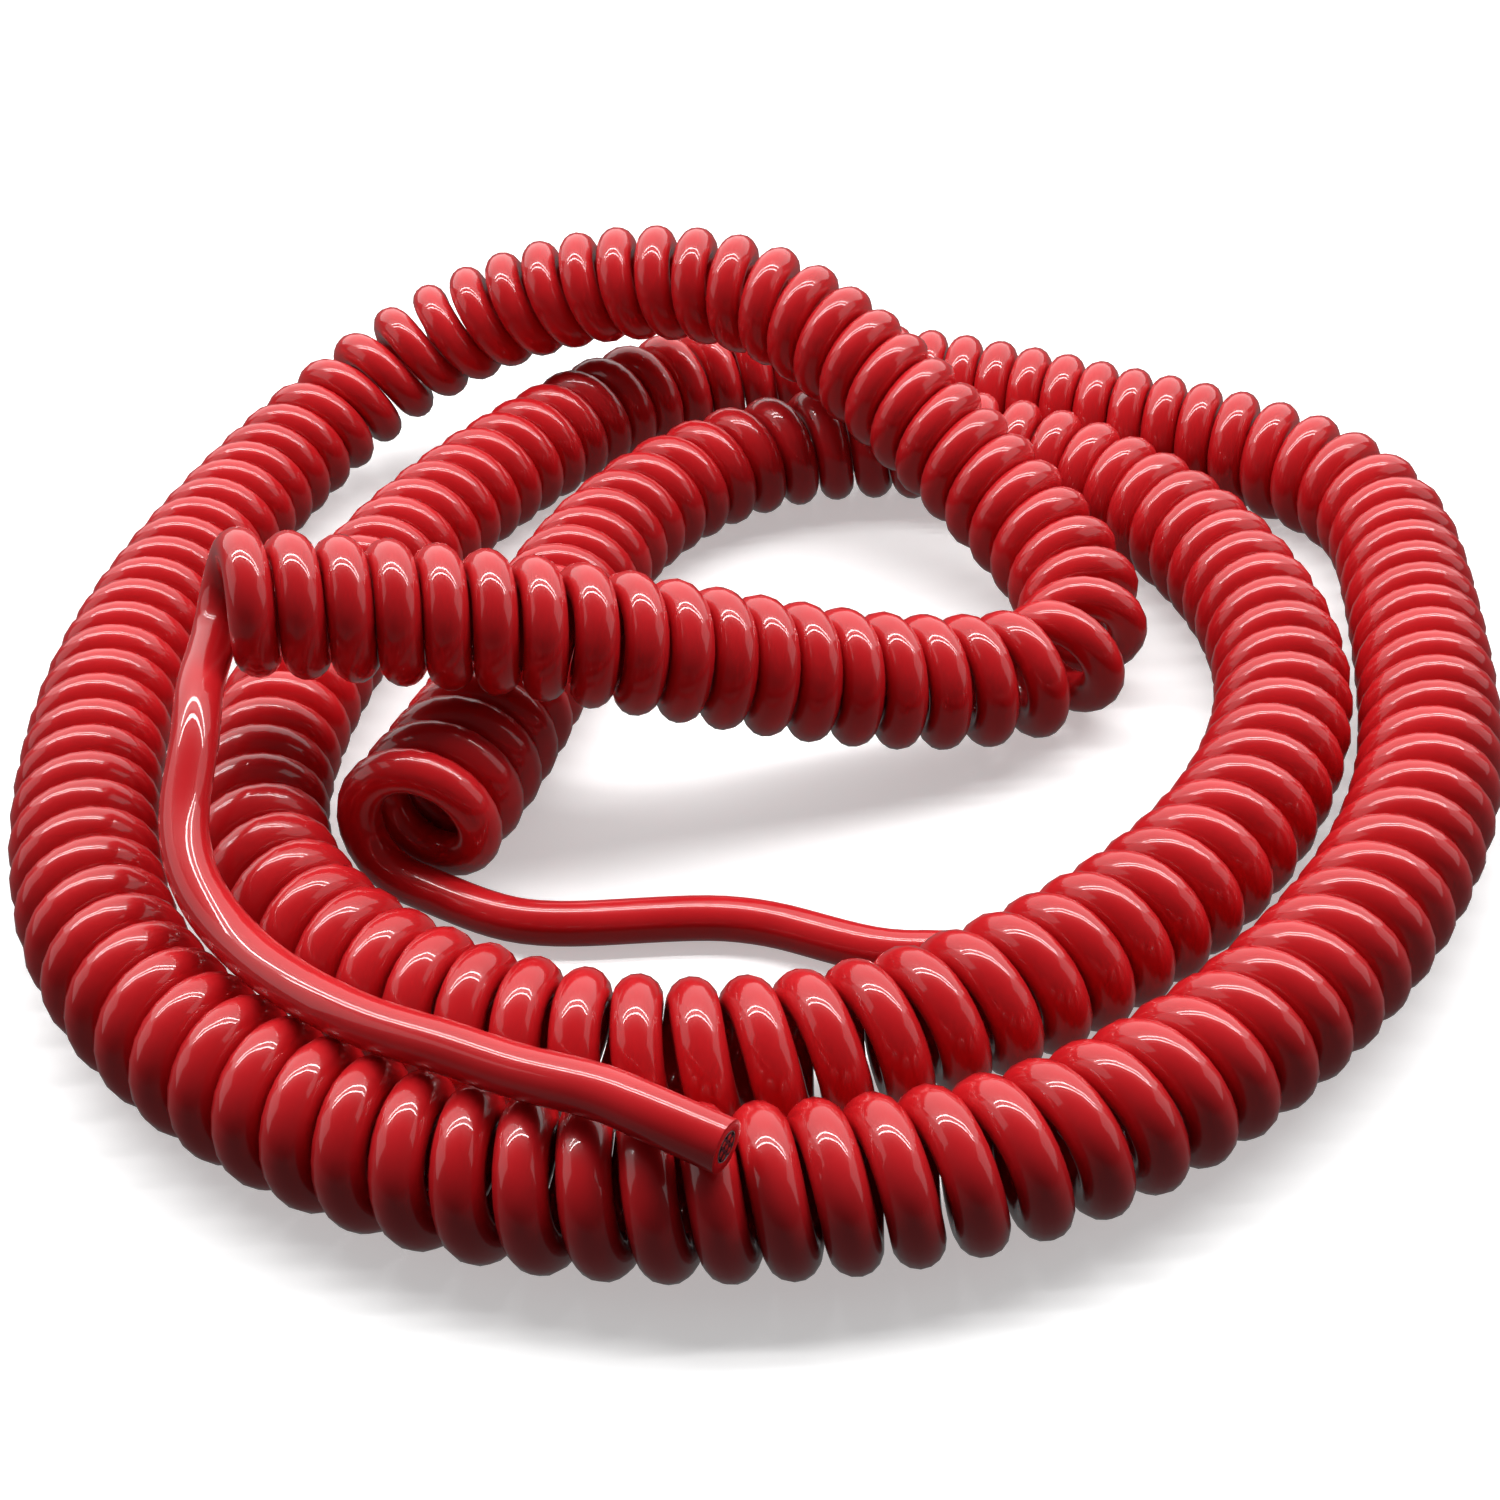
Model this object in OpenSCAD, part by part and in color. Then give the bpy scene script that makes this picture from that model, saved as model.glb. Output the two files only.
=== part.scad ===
// Spiral cable: a spring-wound multi-core cord lying in a loose pile.
// Sizes are in millimetres, +Z is up and the pile lies on z = 0.

/* [Cable] */
// Outside diameter of the jacket
cable_d = 9; // [7.5:0.1:9.4]
// Diameter of one core over its insulation
core_d = 1.65; // [1.2:0.05:1.9]
// Diameter of the bare conductor in a core
conductor_d = 0.9; // [0.5:0.05:1.05]
// Thickness of the tape wrapped round the core bundle
tape_t = 0.1; // [0.05:0.01:0.3]
// Clearance between neighbouring cores
core_gap = 0.02; // [0.01:0.01:0.05]
// Clearance between the bundle, its tape and the jacket's bore
bundle_gap = 0.03; // [0.01:0.01:0.1]

/* [Coil] */
// Outside diameter of the wound coil
coil_d = 29; // [26:0.5:29.5]
// Number of curls along the coil
curls = 89; // [68:1:89]
// Advance of the first curl, at the upper end
first_pitch = 11; // [10.5:0.1:20]
// Advance of the last curl, at the lower end
last_pitch = 12; // [10.5:0.5:20]
// Growth of the coil's radius towards its lower end
flare = 2; // [0:0.1:2.2]
// Length of coil over which it grows
flare_len = 140; // [80:5:200]

/* [Loose ends] */
// Straight length at each cut end
end_len = 16; // [10:1:24]
// Distance between the rings of a loose end
tail_step = 17; // [17:1:25]

/* [Hidden] */
wire_rc = (coil_d - cable_d) / 2;
floor_cut = cable_d / 10;
lie_z = coil_d / 2 - floor_cut;
tail_z = cable_d / 2;
bundle_r = core_d * 1.5 + core_gap;
tape_r = bundle_r + bundle_gap;
bore_r = tape_r + tape_t + bundle_gap;
// Six-sided wire section with the area of the round one
coil_sides = 6;
wire_r = cable_d / 2 * sqrt(2 * PI / (coil_sides * sin(360 / coil_sides)));
tail_sides = 12;
bore_fn = 96;

jacket_red = [0.70, 0.05, 0.06];
core_grey = [0.12, 0.10, 0.13];
copper = [0.80, 0.46, 0.26];
tape_white = [0.82, 0.78, 0.76];

// Middle line of the coil: x, y and lift above the lying height
coil_route = [
  [-109, -38, 44], [-75, -31.5, 36.5], [-40, -30, 29.5], [-6, -22, 15], [31, -16, 4],
  [66, -5, 0], [72, 28, 0], [53, 60, 9], [29, 85, 25], [6, 111, 36], [-24, 125, 38],
  [-59, 133, 31], [-94, 135, 15], [-118, 116, 2], [-131, 84, 0], [-140, 49, 0], [-146, 13, 0],
  [-145, -23, 0], [-139, -59, 0], [-126, -94, 0], [-101, -121, 0], [-70, -141, 0],
  [-37, -151, 0], [0, -152, 0], [36, -147, 0], [66, -130, 0], [94, -105, 0], [116, -76, 0],
  [131, -45, 0], [139, -9, 0], [145, 28, 0], [149, 64, 0], [127, 92, 0], [94, 110, 0],
  [61, 130, 0], [27, 144, 0], [-7, 148, 0], [-36, 135, 0], [-60, 107, 0], [-80, 76, 0],
  [-94, 44, 0], [-103, 9, 0], [-108, -28, 0], [-106, -64, 0], [-83, -95, 0], [-50, -116, 0],
  [-14, -124, 0], [22, -116, 0], [54, -97, 0], [81, -72, 0], [100, -41, 0], [110, -8, 0],
  [108, 28, 0], [96, 62, 0], [75, 88, 0], [45, 104, 0], [8, 105, 0], [-23, 86, 0],
  [-42, 55, 0], [-52, 20, 0], [-59, -15, 0], [-70, -48, 0], [-75, -59, 0]
];
// Upper loose end: x, y, z down over the pile to its straight cut end
front_route = [
  [-109, -68, 45.5], [-111, -78, 38.5], [-107.5, -92, 33.5], [-99.5, -102, 29.5],
  [-90, -112.5, 29.5], [-80, -121, 30], [-69, -128.5, 30.5], [-57, -134.5, 32],
  [-45.5, -141.5, 32.5]
];
front_start = [-26, -151, 34];
front_aim = [-12, -159, 33];
// Lower loose end: x, y and height above the cable's lying height
rear_route = [
  [-52.5, -72, 0], [-42.5, -73, 0], [-32.5, -72.5, 0], [-22.5, -72, 0], [-12.5, -72, 0],
  [-3, -74.5, 0], [2.5, -77, 0]
];
rear_start = [24, -84, 0];
rear_aim = [40, -85, 0];

function unit(v) = v / norm(v);
function last(v) = v[len(v) - 1];

// Uniform cubic B-spline that starts and ends on its outer points
function open_ends(p) =
  concat([2 * p[0] - p[1]], p, [2 * last(p) - p[len(p) - 2]]);
function spline_at(q, i, t) =
  (pow(1 - t, 3) * q[i] + (3 * pow(t, 3) - 6 * t * t + 4) * q[i + 1]
  + (-3 * pow(t, 3) + 3 * t * t + 3 * t + 1) * q[i + 2] + pow(t, 3) * q[i + 3]) / 6;
function spline(p, steps) =
  let (q = open_ends(p))
  [
    for (i = [0 : len(q) - 4])
      for (k = [0 : steps - 1])
        spline_at(q, i, k / steps),
    last(p)
  ];
// Length along a line at each of its points
function lengths(c) =
  [for (i = 0, s = 0; i < len(c); i = i + 1, s = s + (i < len(c) ? norm(c[i] - c[i - 1]) : 0)) s];
function table(c, s, k) = [for (i = [0 : len(c) - 1]) [s[i], c[i][k]]];

axis_line = spline([for (p = coil_route) [p[0], p[1], p[2] + lie_z]], 16);
axis_s = lengths(axis_line);
axis_len = last(axis_s);
axis_x = table(axis_line, axis_s, 0);
axis_y = table(axis_line, axis_s, 1);
axis_z = table(axis_line, axis_s, 2);

// Extra radius near the lower end; the middle line rises as much
function wider(s) =
  let (x = max(0, 1 - (axis_len - s) / flare_len)) flare * x * x * (3 - 2 * x);
function axis_at(s) =
  [lookup(s, axis_x), lookup(s, axis_y), lookup(s, axis_z) + wider(s)];
function axis_dir(s) = unit(axis_at(min(s + 2, axis_len)) - axis_at(max(s - 2, 0)));

// Distance along the middle line after u curls, and the advance there
mid_pitch = (axis_len - first_pitch - last_pitch) / (curls - 2);
function along(u) =
  u < 1 ? first_pitch * u
  : u > curls - 1 ? axis_len - last_pitch * (curls - u)
  : first_pitch + mid_pitch * (u - 1);
function pitch(u) = u < 1 ? first_pitch : u > curls - 1 ? last_pitch : mid_pitch;

// Wire after u curls: centre, heading and outward direction
function wire(u) =
  let (s = along(u))
  let (t = axis_dir(s))
  let (n = unit(cross([0, 0, 1], t)))
  let (b = cross(t, n))
  let (a = 360 * u - 90)
  let (r = wire_rc + wider(s))
  let (out = cos(a) * n + sin(a) * b)
  let (go = unit(2 * PI * r * (cos(a) * b - sin(a) * n) + pitch(u) * t))
  [axis_at(s) + r * out, go, out];

// Ring angles in one curl; the first and last lie close to the floor
ring_a = [12, 60, 108, 156, 204, 252, 300, 348];
ring_u = [for (c = [0 : curls - 1]) for (a = ring_a) c + a / 360];
wire_mid = [for (u = ring_u) wire(u)];
wire_0 = wire(0);
wire_1 = wire(curls);
join_0 = wire_0[0] - cable_d * wire_0[1];
join_1 = wire_1[0] + cable_d * wire_1[1];
wire_all = concat(
  [[join_0, wire_0[1], wire_0[2]], wire_0], wire_mid,
  [wire_1, [join_1, wire_1[1], wire_1[2]]]
);

// Points of one ring, cut off flat at the floor
function ring(w, r, n, turn) =
  let (v = cross(w[1], w[2]))
  [
    for (k = [0 : n - 1])
      let (a = turn + 360 * k / n)
      let (p = w[0] + r * (cos(a) * w[2] + sin(a) * v))
      [p[0], p[1], max(0, p[2])]
  ];
coil_points = [for (w = wire_all) each ring(w, wire_r, coil_sides, 180 / coil_sides)];
coil_px = [for (p = coil_points) p[0]];
coil_py = [for (p = coil_points) p[1]];
centre = [(min(coil_px) + max(coil_px)) / 2, (min(coil_py) + max(coil_py)) / 2, 0];

// Closed tube through m rings of n points
module skin(points, m, n) {
  sides = [
    for (i = [0 : m - 2])
      for (k = [0 : n - 1])
        let (a = i * n + k)
        let (b = i * n + (k + 1) % n)
        each [[a, a + n, b + n], [a, b + n, b]]
  ];
  first_cap = [for (k = [1 : n - 2]) [0, k, k + 1]];
  e = (m - 1) * n;
  last_cap = [for (k = [1 : n - 2]) [e, e + k + 1, e + k]];
  polyhedron(points, concat(sides, first_cap, last_cap), convexity = 20);
}

// Least gap of the wound wire to itself, on points along it
module report_gap() {
  c = [for (i = [0 : curls * 16]) wire(i / 16)[0]];
  near = [
    for (i = [0 : len(c) - 1])
      for (j = [i + 10 : 1 : len(c) - 1])
        if (abs(c[i][0] - c[j][0]) < 14 && abs(c[i][1] - c[j][1]) < 14)
          norm(c[i] - c[j])
  ];
  echo(least_gap = min(near) - 2 * wire_r, curls = curls, axis_length = axis_len);
}

// Rings of a loose end between two faces
function sweep(route, z, from, from_dir, to, to_dir) =
  let (p = concat(
    [from, from + 8 * from_dir], [for (q = route) [q[0], q[1], q[2] + z]], [to - 8 * to_dir, to]))
  let (c = spline(p, 8))
  let (s = lengths(c))
  let (x = table(c, s, 0))
  let (y = table(c, s, 1))
  let (h = table(c, s, 2))
  let (m = round(last(s) / tail_step))
  [
    for (i = [0 : m])
      let (d = last(s) * i / m)
      let (e = [min(d + 1, last(s)), max(d - 1, 0)])
      let (far = [lookup(e[0], x), lookup(e[0], y), lookup(e[0], h)])
      let (near = [lookup(e[1], x), lookup(e[1], y), lookup(e[1], h)])
      let (t = i == 0 ? from_dir : i == m ? to_dir : unit(far - near))
      let (side = unit(cross([0, 0, 1], t)))
      [[lookup(d, x), lookup(d, y), lookup(d, h)], t, side]
  ];

module loose_end(rings) {
  points = [for (w = rings) each ring(w, cable_d / 2, tail_sides, 0)];
  skin(points, len(rings), tail_sides);
}

// Puts a straight end's parts along its line, z = 0 at the loose end
module along_line(from, aim) {
  d = unit(aim - from);
  n = unit(cross([0, 0, 1], d));
  b = cross(d, n);
  multmatrix([
    [n[0], b[0], d[0], from[0]],
    [n[1], b[1], d[1], from[1]],
    [n[2], b[2], d[2], from[2]],
    [0, 0, 0, 1]
  ]) children();
}
module at_front() {
  translate(-centre) along_line(front_start, front_aim) children();
}
module at_rear() {
  up = [0, 0, tail_z];
  translate(-centre) along_line(rear_start + up, rear_aim + up) children();
}

module pipe(outer_r, inner_r) {
  difference() {
    cylinder(h = end_len, r = outer_r, $fn = bore_fn);
    translate([0, 0, -1]) cylinder(h = end_len + 2, r = inner_r, $fn = bore_fn);
  }
}
module jacket_end() {
  color(jacket_red) pipe(cable_d / 2, bore_r);
}
module tape() {
  color(tape_white) pipe(tape_r + tape_t, tape_r);
}
// Core k of the bundle: 0 in the middle, 1 to 6 round it
module at_core(k) {
  r = k == 0 ? 0 : core_d + core_gap;
  translate([r * cos(60 * k), r * sin(60 * k), 0]) children();
}
module core(k) {
  at_core(k) color(core_grey) pipe(core_d / 2, conductor_d / 2);
}
module conductor(k) {
  at_core(k) color(copper) cylinder(h = end_len, r = conductor_d / 2, $fn = bore_fn);
}

module jacket_coil() {
  report_gap();
  color(jacket_red) translate(-centre) skin(coil_points, len(wire_all), coil_sides);
}
module jacket_tail_front() {
  color(jacket_red) translate(-centre) loose_end(sweep(
    front_route, 0, join_0, -wire_0[1], front_start, unit(front_aim - front_start)));
}
module jacket_tail_rear() {
  up = [0, 0, tail_z];
  color(jacket_red) translate(-centre) loose_end(sweep(
    rear_route, tail_z, join_1, wire_1[1], rear_start + up, unit(rear_aim - rear_start)));
}
module jacket_end_front() { at_front() jacket_end(); }
module jacket_end_rear() { at_rear() jacket_end(); }
module tape_front() { at_front() tape(); }
module tape_rear() { at_rear() tape(); }
module core_front_0() { at_front() core(0); }
module core_front_1() { at_front() core(1); }
module core_front_2() { at_front() core(2); }
module core_front_3() { at_front() core(3); }
module core_front_4() { at_front() core(4); }
module core_front_5() { at_front() core(5); }
module core_front_6() { at_front() core(6); }
module core_rear_0() { at_rear() core(0); }
module core_rear_1() { at_rear() core(1); }
module core_rear_2() { at_rear() core(2); }
module core_rear_3() { at_rear() core(3); }
module core_rear_4() { at_rear() core(4); }
module core_rear_5() { at_rear() core(5); }
module core_rear_6() { at_rear() core(6); }
module conductor_front_0() { at_front() conductor(0); }
module conductor_front_1() { at_front() conductor(1); }
module conductor_front_2() { at_front() conductor(2); }
module conductor_front_3() { at_front() conductor(3); }
module conductor_front_4() { at_front() conductor(4); }
module conductor_front_5() { at_front() conductor(5); }
module conductor_front_6() { at_front() conductor(6); }
module conductor_rear_0() { at_rear() conductor(0); }
module conductor_rear_1() { at_rear() conductor(1); }
module conductor_rear_2() { at_rear() conductor(2); }
module conductor_rear_3() { at_rear() conductor(3); }
module conductor_rear_4() { at_rear() conductor(4); }
module conductor_rear_5() { at_rear() conductor(5); }
module conductor_rear_6() { at_rear() conductor(6); }

jacket_coil();
jacket_tail_front();
jacket_tail_rear();
jacket_end_front();
jacket_end_rear();
tape_front();
tape_rear();
core_front_0();
core_front_1();
core_front_2();
core_front_3();
core_front_4();
core_front_5();
core_front_6();
core_rear_0();
core_rear_1();
core_rear_2();
core_rear_3();
core_rear_4();
core_rear_5();
core_rear_6();
conductor_front_0();
conductor_front_1();
conductor_front_2();
conductor_front_3();
conductor_front_4();
conductor_front_5();
conductor_front_6();
conductor_rear_0();
conductor_rear_1();
conductor_rear_2();
conductor_rear_3();
conductor_rear_4();
conductor_rear_5();
conductor_rear_6();
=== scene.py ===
# %% [markdown]
# # A spiral cable in a loose pile
#
# The real thing is a spring-wound cable. A glossy red polyurethane jacket is wound on a rod
# while it is warm, so it keeps about two hundred curls for life. The wound coil is limp as a
# whole: it lies in two and a half loops, and both of its ends run out straight to a bare cut.
#
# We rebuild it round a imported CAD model, which gives the frame: every size and place below is
# in metres, in the CAD model's own axes, with +Z up and the floor at z = 0.

# %% Load the CAD frame
import math
from bisect import bisect_right
from itertools import accumulate

import bmesh
import bpy
from mathutils import Matrix, Vector


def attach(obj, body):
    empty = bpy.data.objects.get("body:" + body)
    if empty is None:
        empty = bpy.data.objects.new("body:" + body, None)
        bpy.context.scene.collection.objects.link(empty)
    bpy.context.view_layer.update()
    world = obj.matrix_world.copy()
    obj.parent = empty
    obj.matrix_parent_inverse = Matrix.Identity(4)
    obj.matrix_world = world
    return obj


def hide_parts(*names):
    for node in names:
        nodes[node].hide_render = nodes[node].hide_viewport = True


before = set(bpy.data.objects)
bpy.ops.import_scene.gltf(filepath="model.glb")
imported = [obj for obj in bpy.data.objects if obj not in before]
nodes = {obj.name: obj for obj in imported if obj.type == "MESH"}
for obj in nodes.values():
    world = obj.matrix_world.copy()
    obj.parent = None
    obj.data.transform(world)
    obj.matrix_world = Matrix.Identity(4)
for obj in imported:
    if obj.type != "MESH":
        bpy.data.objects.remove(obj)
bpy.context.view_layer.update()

# %% [markdown]
# ## Camera
#
# The pile is seen from close by, less than half a metre away and 36 degrees above the floor,
# through a 50 mm lens. The camera leans a degree and a half to one side, as a hand-held one
# does. A new camera looks straight down, so its turn is the product of two plain rotations:
# the tilt up from there, and the lean about the camera's own axis.

# %% Place the camera
CENTRE = Vector((0.000535, -0.002750, 0.0))  # middle of the pile in the route's own axes
CAMERA_AT = (-0.007, -0.380, 0.2682)
TILT_DEG = 54
LEAN_DEG = -1.5


def place(x, y, z):
    """A point of the route, moved into the frame."""
    return Vector((x, y, z)) - CENTRE


camera_data = bpy.data.cameras.new("camera")
camera_data.lens = 50
camera_data.sensor_width = 36
camera_data.clip_start = 0.01
camera = bpy.data.objects.new("camera", camera_data)
tilt = Matrix.Rotation(math.radians(TILT_DEG), 4, "X")
lean = Matrix.Rotation(math.radians(LEAN_DEG), 4, "Z")
camera.matrix_world = Matrix.Translation(place(*CAMERA_AT)) @ tilt @ lean
bpy.context.scene.collection.objects.link(camera)
bpy.context.scene.camera = camera
print("camera at", tuple(round(v, 4) for v in camera.location))

# %% [markdown]
# ## The line that the coil follows
#
# A coiled cord has two shapes in one: a fat, lazy line that the whole coil lies along, and the
# wire that winds round it. We set the lazy line first. Its points are listed, each as x, y
# and the lift above the height where the coil lies flat on the floor. A cubic B-spline
# smooths them, because it never overshoots, and bends no tighter than its points do.

# %% Sizes and the coil's route
CABLE_D = 0.009
COIL_D = 0.029
WIND_R = (COIL_D - CABLE_D) / 2  # from the coil's middle line to the wire's
LIE = COIL_D / 2  # height of the middle line where the coil lies on the floor
SPLINE_STEPS = 16  # pieces that the smooth line has between two route points

COIL_ROUTE = [
    (-0.109, -0.038, 0.044), (-0.075, -0.0315, 0.0365), (-0.040, -0.030, 0.0295),
    (-0.006, -0.022, 0.015), (0.031, -0.016, 0.004), (0.066, -0.005, 0.0),
    (0.072, 0.028, 0.0), (0.053, 0.060, 0.009), (0.029, 0.085, 0.025),
    (0.006, 0.111, 0.036), (-0.024, 0.125, 0.038), (-0.059, 0.133, 0.031),
    (-0.094, 0.135, 0.015), (-0.118, 0.116, 0.002), (-0.131, 0.084, 0.0),
    (-0.140, 0.049, 0.0), (-0.146, 0.013, 0.0), (-0.145, -0.023, 0.0),
    (-0.139, -0.059, 0.0), (-0.126, -0.094, 0.0), (-0.101, -0.121, 0.0),
    (-0.070, -0.141, 0.0), (-0.037, -0.151, 0.0), (0.0, -0.152, 0.0),
    (0.036, -0.147, 0.0), (0.066, -0.130, 0.0), (0.094, -0.105, 0.0),
    (0.116, -0.076, 0.0), (0.131, -0.045, 0.0), (0.139, -0.009, 0.0),
    (0.145, 0.028, 0.0), (0.149, 0.064, 0.0), (0.127, 0.092, 0.0),
    (0.094, 0.110, 0.0), (0.061, 0.130, 0.0), (0.027, 0.144, 0.0),
    (-0.007, 0.148, 0.0), (-0.036, 0.135, 0.0), (-0.060, 0.107, 0.0),
    (-0.080, 0.076, 0.0), (-0.094, 0.044, 0.0), (-0.103, 0.009, 0.0),
    (-0.108, -0.028, 0.0), (-0.106, -0.064, 0.0), (-0.083, -0.095, 0.0),
    (-0.050, -0.116, 0.0), (-0.014, -0.124, 0.0), (0.022, -0.116, 0.0),
    (0.054, -0.097, 0.0), (0.081, -0.072, 0.0), (0.100, -0.041, 0.0),
    (0.110, -0.008, 0.0), (0.108, 0.028, 0.0), (0.096, 0.062, 0.0),
    (0.075, 0.088, 0.0), (0.045, 0.104, 0.0), (0.008, 0.105, 0.0),
    (-0.023, 0.086, 0.0), (-0.042, 0.055, 0.0), (-0.052, 0.020, 0.0),
    (-0.059, -0.015, 0.0), (-0.070, -0.048, 0.0), (-0.075, -0.059, 0.0),
]


# %% A smooth line with its length
def spline(points):
    """Uniform cubic B-spline that starts and ends on its outer points.

    Each place on it is a mean of four points, whose weights add up to 6.
    """
    q = [2 * points[0] - points[1], *points, 2 * points[-1] - points[-2]]
    line = []
    for a, b, c, d in zip(q, q[1:], q[2:], q[3:]):
        for k in range(SPLINE_STEPS):
            t = k / SPLINE_STEPS
            line.append((
                (1 - t) ** 3 * a + (3 * t**3 - 6 * t**2 + 4) * b
                + (-3 * t**3 + 3 * t**2 + 3 * t + 1) * c + t**3 * d
            ) / 6)
    return line + [points[-1]]


def between(marks, value):
    """The mark below a value, and the value's share of the way to the next mark."""
    i = min(bisect_right(marks, value), len(marks) - 1) - 1
    return i, (value - marks[i]) / (marks[i + 1] - marks[i])


class Line:
    """A line of points that can be asked for the place at any distance along it."""

    def __init__(self, points):
        self.points = points
        steps = [(b - a).length for a, b in zip(points, points[1:])]
        self.marks = [0.0, *accumulate(steps)]
        self.length = self.marks[-1]

    def at(self, s):
        i, t = between(self.marks, min(max(s, 0.0), self.length))
        return self.points[i].lerp(self.points[i + 1], t)

    def heading(self, s, reach=0.002):
        """Direction at distance s, from the points a little before and after it."""
        return (self.at(s + reach) - self.at(s - reach)).normalized()

    def curvature(self, s, reach=0.006):
        """One over the radius of the bend at distance s."""
        turn = self.heading(s + reach) - self.heading(s - reach)
        return turn.length / (2 * reach)


coil_line = Line(spline([place(x, y, z + LIE) for x, y, z in COIL_ROUTE]))
print("coil line:", round(coil_line.length, 4), "m")

# %% [markdown]
# ## How close the curls sit
#
# At rest the curls almost touch, one cable's width and a hair apart. Round a bend the inner
# side of the coil is shorter than its middle, so the curls there would run into each other.
# On the real cable they push apart instead, so we let the advance per curl grow with the
# bend. We add up the curls along the line, then scale the sum a little, so that a whole number
# of them fits from end to end.

# %% Count the curls along the line
PITCH = 0.0094
FIRST_PITCH = 0.0095
LAST_PITCH = 0.0108
SIDE_GAP = 0.0001  # least room between two curls on the inside of a bend
LEAST_INSIDE = 0.15  # least share of the length that counts as left there
STEP = 0.001  # distance between the places where the sum reads the bend


def advance(s):
    """Room along the line that one curl takes at distance s."""
    inside = max(LEAST_INSIDE, 1 - coil_line.curvature(s) * WIND_R)
    return max(PITCH, (CABLE_D + SIDE_GAP) / inside)


span = coil_line.length - LAST_PITCH - FIRST_PITCH
count = round(span / STEP)
stations = [FIRST_PITCH + span * k / count for k in range(count + 1)]
rates = [1 / advance(s) for s in stations]
added = [0.0, *accumulate((a + b) / 2 * span / count for a, b in zip(rates, rates[1:]))]
middle_curls = round(added[-1])
turned = [1 + curls * middle_curls / added[-1] for curls in added]
CURLS = middle_curls + 2  # one more at each end, with a pitch of its own


def along(u):
    """Distance along the coil's line after u curls."""
    if u <= 1:
        return FIRST_PITCH * u
    if u >= CURLS - 1:
        return coil_line.length - LAST_PITCH * (CURLS - u)
    i, t = between(turned, u)
    return stations[i] + t * (stations[i + 1] - stations[i])


print("curls:", CURLS)

# %% [markdown]
# ## The wire of the coil
#
# At every distance the line gives three directions: on, to the left and up. The wire turns
# round the line in the last two while it goes on along the first. We start and end at the
# bottom of the coil, where the loose ends leave it.
#
# A coil that has been pulled often goes slack at one end. Here the last curls are a little
# wider, so the radius grows over the last stretch. The middle line rises by as much, or these
# curls would sink into the floor.

# %% Wind the wire round the line
FLARE = 0.002  # growth of the radius towards the lower end
FLARE_LEN = 0.140  # length of coil over which it grows
RINGS = 24  # rings of the tube in one curl


def wider(s):
    """Extra radius at distance s, which eases in and out."""
    x = max(0.0, 1 - (coil_line.length - s) / FLARE_LEN)
    return FLARE * x * x * (3 - 2 * x)


def wind(u):
    """Centre of the wire after u curls, and its heading there for the first and last ring."""
    s = along(u)
    go = coil_line.heading(s)
    left = Vector((0, 0, 1)).cross(go).normalized()
    up = go.cross(left)
    angle = 2 * math.pi * u - math.pi / 2
    out = math.cos(angle) * left + math.sin(angle) * up
    turn = math.cos(angle) * up - math.sin(angle) * left
    radius = WIND_R + wider(s)
    rise = FIRST_PITCH if u < 1 else LAST_PITCH
    heading = (2 * math.pi * radius * turn + rise * go).normalized()
    return coil_line.at(s) + Vector((0, 0, wider(s))) + radius * out, heading


coil_wire = [wind(k / RINGS)[0] for k in range(CURLS * RINGS + 1)]
coil_start, start_heading = wind(0)
coil_end, end_heading = wind(CURLS)
print("wire in the coil:", round(Line(coil_wire).length, 3), "m")

# %% [markdown]
# ## The two loose ends
#
# Each end leaves its coil straight, bends no tighter than three and a half times its own
# thickness and finishes in a short straight run to the cut. The upper one comes down beside
# the coil, lies in the groove between two loops and climbs on to the outer one. The lower one
# stays on the floor and slips in behind the inner loop.

# %% Route both loose ends
FRONT_ROUTE = [
    (-0.109, -0.068, 0.0455), (-0.111, -0.078, 0.0385), (-0.1075, -0.092, 0.0335),
    (-0.0995, -0.102, 0.0295), (-0.090, -0.1125, 0.0295), (-0.080, -0.121, 0.030),
    (-0.069, -0.1285, 0.0305), (-0.057, -0.1345, 0.032), (-0.0455, -0.1415, 0.0325),
]
FRONT_START = place(-0.026, -0.151, 0.034)
FRONT_AIM = (place(-0.012, -0.159, 0.033) - FRONT_START).normalized()
REAR_ROUTE = [
    (-0.0525, -0.072, 0.0), (-0.0425, -0.073, 0.0), (-0.0325, -0.0725, 0.0),
    (-0.0225, -0.072, 0.0), (-0.0125, -0.072, 0.0), (-0.003, -0.0745, 0.0),
    (0.0025, -0.077, 0.0),
]
REAR_START = place(0.024, -0.084, CABLE_D / 2)
REAR_AIM = (place(0.040, -0.085, CABLE_D / 2) - REAR_START).normalized()
LEAD = 0.008  # straight run beside each joint of a loose end
RING_GAP = 0.003  # distance between the tube's rings on a loose end


def loose_end(joint, out, route, start, aim):
    """Evenly spaced points from the coil's joint to the start of the straight cut end."""
    line = Line(spline([joint, joint + LEAD * out, *route, start - LEAD * aim, start]))
    rings = round(line.length / RING_GAP)
    return [line.at(line.length * k / rings) for k in range(rings + 1)]


front_joint = coil_start - CABLE_D * start_heading
rear_joint = coil_end + CABLE_D * end_heading
front_tail = loose_end(
    front_joint, -start_heading, [place(*p) for p in FRONT_ROUTE], FRONT_START, FRONT_AIM)
rear_tail = loose_end(
    rear_joint, end_heading,
    [place(x, y, z + CABLE_D / 2) for x, y, z in REAR_ROUTE], REAR_START, REAR_AIM)
cable_path = [*reversed(front_tail), *coil_wire, *rear_tail]

# %% [markdown]
# ## The jacket
#
# One unbroken tube follows the whole path. A Blender curve with a round bevel does this best:
# it carries the ring from point to point without twisting it, also through the curls. We turn
# the curve into a mesh at once, because a mesh tube can be measured and exported as it is.

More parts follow.
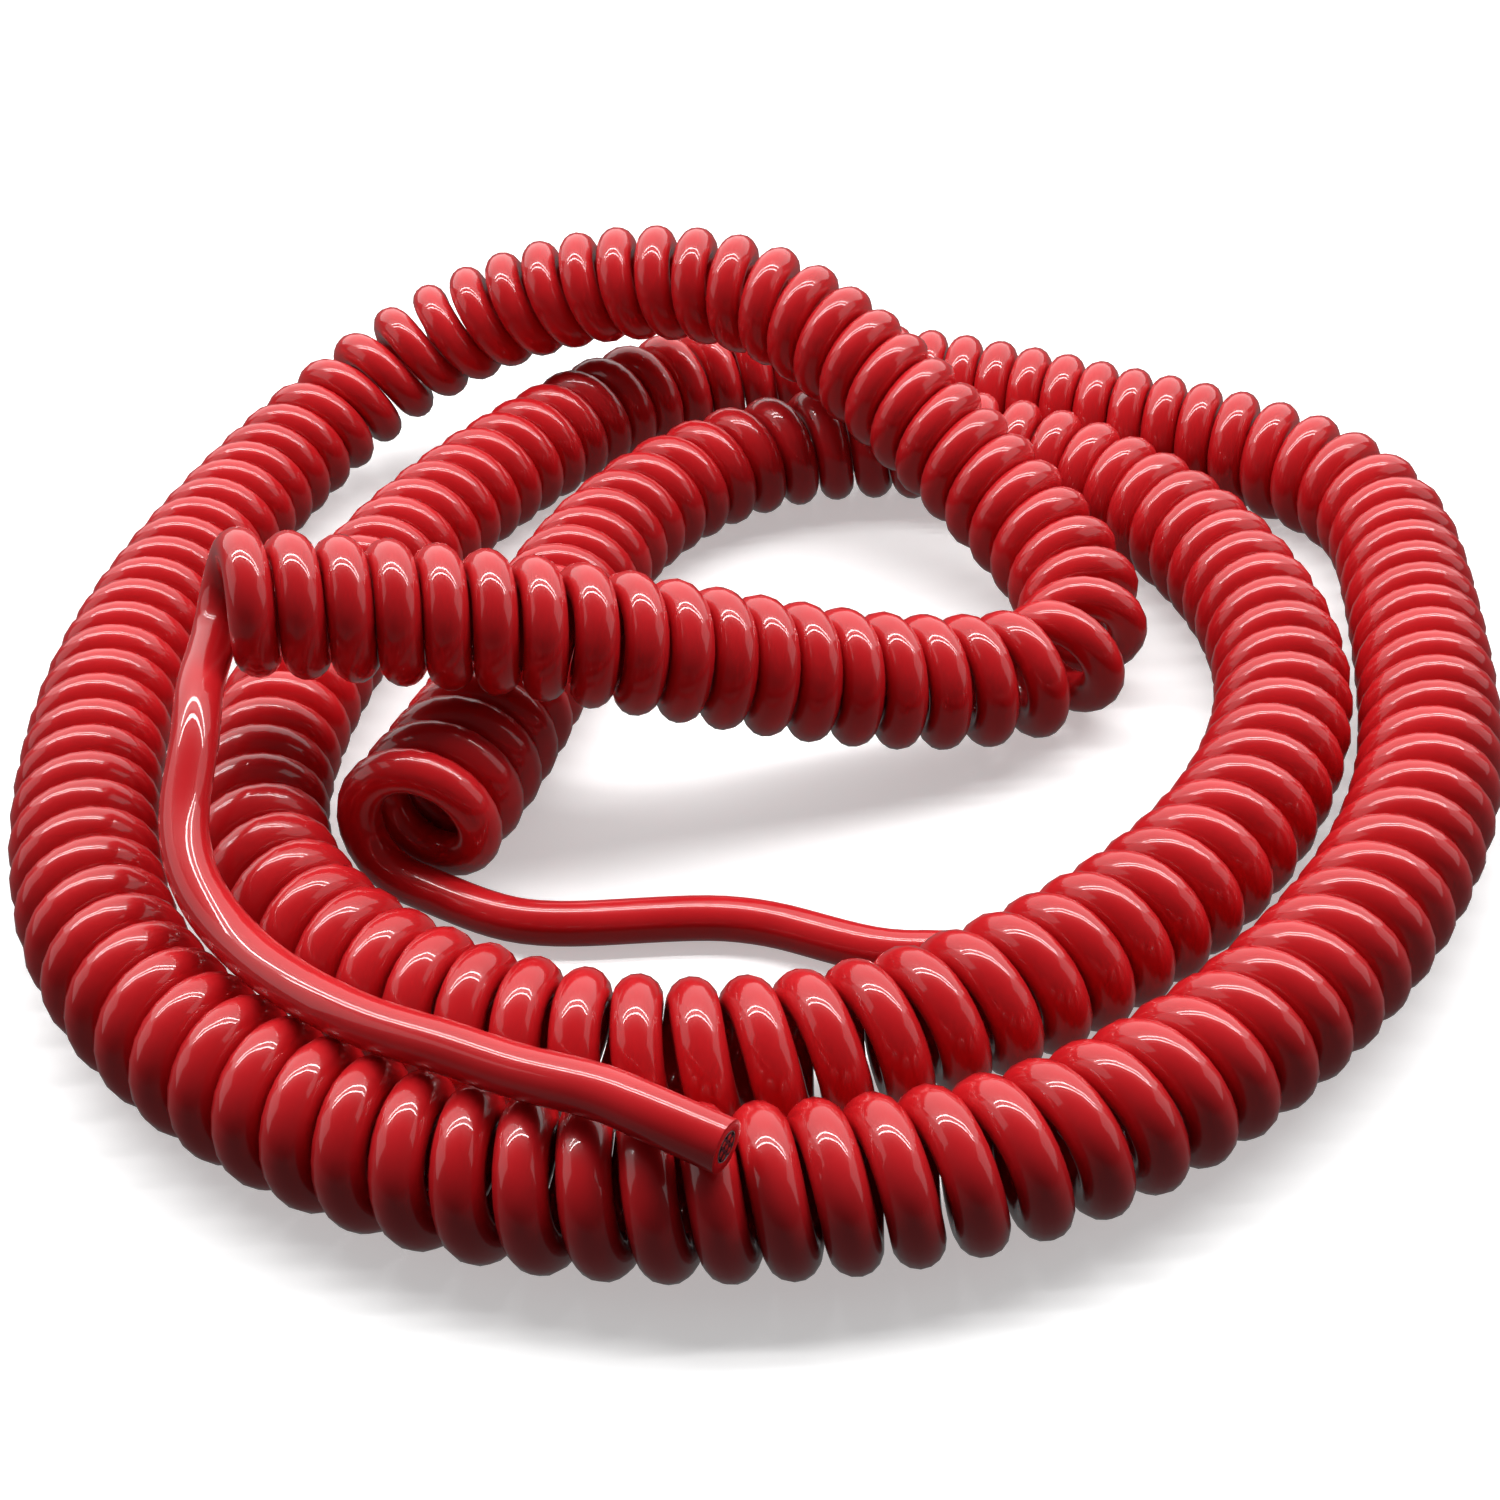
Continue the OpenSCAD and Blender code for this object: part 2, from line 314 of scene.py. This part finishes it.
# %% Sweep the jacket along its path
BEVEL_STEPS = 6  # they give the tube 16 sides

curve = bpy.data.curves.new("jacket", "CURVE")
curve.dimensions = "3D"
curve.twist_mode = "MINIMUM"
curve.bevel_depth = CABLE_D / 2
curve.bevel_resolution = BEVEL_STEPS
curve.use_fill_caps = True
strand = curve.splines.new("POLY")
strand.points.add(len(cable_path) - 1)
for point, p in zip(strand.points, cable_path):
    point.co = (*p, 1)
swept = bpy.data.objects.new("swept", curve)
bpy.context.scene.collection.objects.link(swept)
tube = bpy.data.meshes.new_from_object(
    swept.evaluated_get(bpy.context.evaluated_depsgraph_get()))
bpy.data.objects.remove(swept)
jacket = bpy.data.objects.new("jacket", tube)
bpy.context.scene.collection.objects.link(jacket)
for face in tube.polygons:
    face.use_smooth = len(face.vertices) == 4
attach(jacket, "root")
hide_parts("jacket_coil", "jacket_tail_front", "jacket_tail_rear")
print("jacket:", len(tube.polygons), "faces")

# %% [markdown]
# ## The cut ends
#
# At each end the jacket shows how thick it is: a wall of almost two millimetres round a bundle
# of thin cores. A circle drawn once and pulled out, in and back again gives the wall, its cut
# face and its bore, and a small bevel takes the sharpness off the cut.

# %% Make both ends of the jacket
END_LEN = 0.016
BORE_R = 0.002655  # room for the cores, their wrap and a hair of clearance
END_SIDES = 64
EASING = 0.00015  # width of the small bevel on the cut's two edges


def facing(start, aim):
    """Matrix that stands a piece's own +Z along aim at start."""
    side = Vector((0, 0, 1)).cross(aim).normalized()
    turn = Matrix((side, aim.cross(side), aim)).transposed().to_4x4()
    return Matrix.Translation(start) @ turn


def pull(bm, edges, shift=(0, 0, 0), scale=1.0):
    """Extrude a ring of edges, then move and scale the new ring. Returns the new ring."""
    made = bmesh.ops.extrude_edge_only(bm, edges=edges)["geom"]
    verts = [g for g in made if isinstance(g, bmesh.types.BMVert)]
    bmesh.ops.scale(bm, vec=(scale, scale, 1), verts=verts)
    bmesh.ops.translate(bm, vec=shift, verts=verts)
    return [g for g in made if isinstance(g, bmesh.types.BMEdge) and len(g.link_faces) == 1
            and all(v in verts for v in g.verts)]


def cut_end(name, node, start, aim):
    """The last straight stretch of the jacket, in place of its CAD node."""
    bm = bmesh.new()
    bmesh.ops.create_circle(bm, segments=END_SIDES, radius=CABLE_D / 2)
    back = bm.edges[:]
    rim = pull(bm, back, shift=(0, 0, END_LEN))
    mouth = pull(bm, rim, scale=BORE_R / (CABLE_D / 2))
    inner = pull(bm, mouth, shift=(0, 0, -END_LEN))
    bmesh.ops.bridge_loops(bm, edges=back + inner)
    bmesh.ops.bevel(
        bm, geom=rim + mouth, offset=EASING, offset_type="OFFSET", segments=2,
        profile=0.5, affect="EDGES", material=-1)
    bmesh.ops.recalc_face_normals(bm, faces=bm.faces)
    mesh = bpy.data.meshes.new(name)
    bm.to_mesh(mesh)
    bm.free()
    mesh.transform(facing(start, aim))
    mesh.shade_smooth()
    mesh.set_sharp_from_angle(angle=math.radians(40))
    end = bpy.data.objects.new(name, mesh)
    bpy.context.scene.collection.objects.link(end)
    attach(end, "root")
    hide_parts(node)
    return end


front_cut = cut_end("jacket_cut_front", "jacket_end_front", FRONT_START, FRONT_AIM)
rear_cut = cut_end("jacket_cut_rear", "jacket_end_rear", REAR_START, REAR_AIM)

# %% [markdown]

# %% [markdown]
# ## Materials
#
# Each finish is a small node tree on a Principled shader. Values that are the same all over go
# straight on the shader's own sockets. What varies comes from a noise in object coordinates,
# which stays with the piece however it is moved. One helper lets the colour wander with it,
# and another makes a low relief from it, because no real surface is the same all over.


# %% Helpers for a finish
def finish_of(name, roughness, **sockets):
    """A new material, its node tree and its shader with the given values."""
    material = bpy.data.materials.new(name)
    material.use_nodes = True
    tree = material.node_tree
    shader = tree.nodes["Principled BSDF"]
    shader.inputs["Roughness"].default_value = roughness
    for socket, value in sockets.items():
        shader.inputs[socket.replace("_", " ")].default_value = value
    return material, tree, shader


def noise_in(tree, scale, detail=3.0):
    """Noise on object coordinates, with its scale in features per metre."""
    where = tree.nodes.new("ShaderNodeTexCoord")
    noise = tree.nodes.new("ShaderNodeTexNoise")
    noise.inputs["Scale"].default_value = scale
    noise.inputs["Detail"].default_value = detail
    tree.links.new(where.outputs["Object"], noise.inputs["Vector"])
    return noise.outputs["Fac"]


def mottle(tree, shader, scale, darker, lighter, span=(0.3, 0.7)):
    """Let the colour wander from a darker to a lighter tone over a span of the noise."""
    ramp = tree.nodes.new("ShaderNodeValToRGB")
    for element, at, colour in zip(ramp.color_ramp.elements, span, (darker, lighter)):
        element.position = at
        element.color = (*colour, 1)
    tree.links.new(noise_in(tree, scale), ramp.inputs["Fac"])
    tree.links.new(ramp.outputs["Color"], shader.inputs["Base Color"])


def bump(tree, shader, noise, height, strength=1.0):
    """Low relief of a height in metres."""
    node = tree.nodes.new("ShaderNodeBump")
    node.inputs["Distance"].default_value = height
    node.inputs["Strength"].default_value = strength
    tree.links.new(noise, node.inputs["Height"])
    tree.links.new(node.outputs["Normal"], shader.inputs["Normal"])


# %% [markdown]
# ### Red polyurethane
#
# The jacket comes off a polished die, so it shines like wet paint, but light also scatters in
# the plastic just under its skin. One low roughness would give every reflection the same hard
# edge. So the body gets a soft gloss for the wide sheen, and a clear coat over it draws the
# crisp lines. A very low bump makes those lines waver, as drawn-out plastic does.

# %% Colour, gloss and waver of the jacket
red, tree, shader = finish_of(
    "red_polyurethane", roughness=0.32, IOR=1.5, Specular_IOR_Level=0.2,
    Coat_Weight=0.9, Coat_Roughness=0.03)
mottle(
    tree, shader, scale=60, darker=(0.54, 0.009, 0.013), lighter=(0.60, 0.013, 0.018),
    span=(0.35, 0.65))
bump(tree, shader, noise_in(tree, scale=300, detail=2.0), height=0.00004, strength=0.35)
for piece in (jacket, front_cut, rear_cut):
    piece.data.materials.clear()
    piece.data.materials.append(red)

# %% [markdown]
# ### Inside the cut
#
# Seven thin cores fill the bore, each a dark plastic skin on a bunch of copper strands, whose
# cut tips look duller than a solid rod would. A thin paper wrap, coloured a dark grey, holds
# them.
# They are the CAD model's own solids. Their shape is right, so each only gets its finish, by
# name.

# %% Core insulation, copper and wrap
dark, tree, shader = finish_of("core_insulation", roughness=0.45)
mottle(tree, shader, scale=900, darker=(0.018, 0.012, 0.018), lighter=(0.05, 0.036, 0.05))
bump(tree, shader, noise_in(tree, scale=4000), height=0.00002)

copper, tree, shader = finish_of("cut_copper", roughness=0.3, Metallic=1.0)
mottle(tree, shader, scale=3000, darker=(0.48, 0.27, 0.18), lighter=(0.74, 0.50, 0.38))

grey, tree, shader = finish_of("wrapping_tape", roughness=0.7)
mottle(tree, shader, scale=2500, darker=(0.18, 0.15, 0.15), lighter=(0.36, 0.31, 0.31))

for name, node in nodes.items():
    for prefix, material in (("core_", dark), ("conductor_", copper), ("tape_", grey)):
        if name.startswith(prefix):
            node.data.materials.clear()
            node.data.materials.append(material)

# %% [markdown]
# ## Floor and backdrop
#
# The floor is plain and pale, and a round pale wall far behind it hides its edge. The floor
# takes the shadows, but we keep light from bouncing off it on to the cable, and its mirror
# image out of the gloss: so near a thing lying on it, white would fill the dark undersides
# that give each curl its depth. A glow of its own keeps the shadows light, and the wall glows
# as much, so the two run into each other.

# %% Lay the floor and stand the wall
GLOW = 0.42


def stand_back(stage, name, colour):
    """Name a piece of the scenery and give it a plain glowing finish and no light for the cable.
    """
    stage.name = name
    stage.visible_diffuse = False
    stage.visible_glossy = False
    finish, _, _ = finish_of(
        "pale_" + name, roughness=0.9, Base_Color=colour,
        Emission_Color=(1, 1, 1, 1), Emission_Strength=GLOW)
    stage.data.materials.append(finish)
    print(name + ":", tuple(round(v, 1) for v in stage.dimensions), "m")
    return stage


bpy.ops.mesh.primitive_plane_add(size=24)
stand_back(bpy.context.object, "floor", (0.8, 0.8, 0.8, 1))
bpy.ops.mesh.primitive_cylinder_add(vertices=96, radius=11, depth=16, end_fill_type="NOTHING")
backdrop = stand_back(bpy.context.object, "backdrop", (0.1, 0.1, 0.1, 1))
backdrop.visible_shadow = False

# %% [markdown]
# ## Light
#
# A glossy thing shows its surroundings more than its own colour, so each lamp here is also
# something to mirror. A wide pale wall stands behind the pile. Two thin tubes hang over the
# pile, where the cable sees the wall's upper edge, and draw the double line on every curl. A
# softer panel on each side gives the light rims, and the camera's side stays dark.


# %% Hang the lights
def panel(name, at, look_at, size, radiance):
    """A flat rectangular light, given by how bright it looks from any distance."""
    data = bpy.data.lights.new(name, "AREA")
    data.shape = "RECTANGLE"
    data.size, data.size_y = size
    data.energy = radiance * math.pi * size[0] * size[1]
    lamp = bpy.data.objects.new(name, data)
    lamp.location = at
    aim = Vector(look_at) - Vector(at)
    lamp.rotation_euler = aim.to_track_quat("-Z", "Y").to_euler()
    lamp.visible_camera = False
    bpy.context.scene.collection.objects.link(lamp)
    print(name, "gives", round(data.energy, 1), "W")


PILE = (0, 0, 0)  # what most of the lights look at
TUBE = (1.9, 0.038)

panel("wall_of_light", (0, 1.15, 0.97), (0, 0.1, 0), (4.8, 2.0), radiance=1.3)
panel("tube_near", (0, 0.135, 0.83), PILE, TUBE, radiance=26)
panel("tube_far", (0, 0.275, 0.80), PILE, TUBE, radiance=26)
for side, x in (("left", -1.3), ("right", 1.3)):
    panel("side_" + side, (x, 0.0, 0.6), PILE, (1.0, 1.0), radiance=0.85)

# %% [markdown]
# ## The room
#
# What no lamp covers is the room. Above it is nearly dark. Below, where the floor keeps out of
# the reflections, a dim grey stands in for it and shows on the lowest part of each curl. The
# world's own coordinate gives the height of each direction, from -1 straight down to 1
# straight up, and a map range turns it into brightness, with a soft step at the horizon.

# %% Dim the room
ROOM_BELOW = 0.13
ROOM_ABOVE = 0.05
STEP_FROM = -0.15
STEP_TO = 0.05

world = bpy.data.worlds.new("dim_room")
world.use_nodes = True
tree = world.node_tree
where = tree.nodes.new("ShaderNodeTexCoord")
split = tree.nodes.new("ShaderNodeSeparateXYZ")
level = tree.nodes.new("ShaderNodeMapRange")
level.inputs["From Min"].default_value = STEP_FROM
level.inputs["From Max"].default_value = STEP_TO
level.inputs["To Min"].default_value = ROOM_BELOW
level.inputs["To Max"].default_value = ROOM_ABOVE
tree.links.new(where.outputs["Generated"], split.inputs["Vector"])
tree.links.new(split.outputs["Z"], level.inputs["Value"])
tree.links.new(level.outputs["Result"], tree.nodes["Background"].inputs["Strength"])
tree.nodes["Background"].inputs["Color"].default_value = (1, 1, 1, 1)
bpy.context.scene.world = world
bpy.context.scene.view_settings.view_transform = "Standard"
print("room:", ROOM_BELOW, "below,", ROOM_ABOVE, "above")
